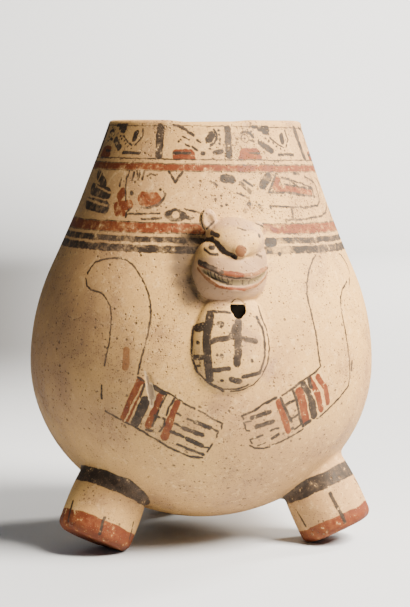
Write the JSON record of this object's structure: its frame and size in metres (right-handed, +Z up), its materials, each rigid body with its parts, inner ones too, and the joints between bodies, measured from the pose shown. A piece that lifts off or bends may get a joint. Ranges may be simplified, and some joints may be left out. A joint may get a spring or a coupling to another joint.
{
  "type": "tripod effigy vessel",
  "caption": "Hollow pear-shaped pottery jar on stub legs, with an animal's head and a rounded belly lobe modelled on its front wall.",
  "frame": {"origin": "on the surface the feet stand on, under the middle of the bounding box", "axes": "+Z up, the animal's head faces -Y, +X to the right of someone facing the head"},
  "size_m": [0.25, 0.2578, 0.3032],
  "materials": {
    "painted_clay": "burnished cream slip with orange-red and brown-black painted bands, worn matt"
  },
  "bodies": {
    "root": {"vessel": "painted_clay"}
  },
  "joints": []
}
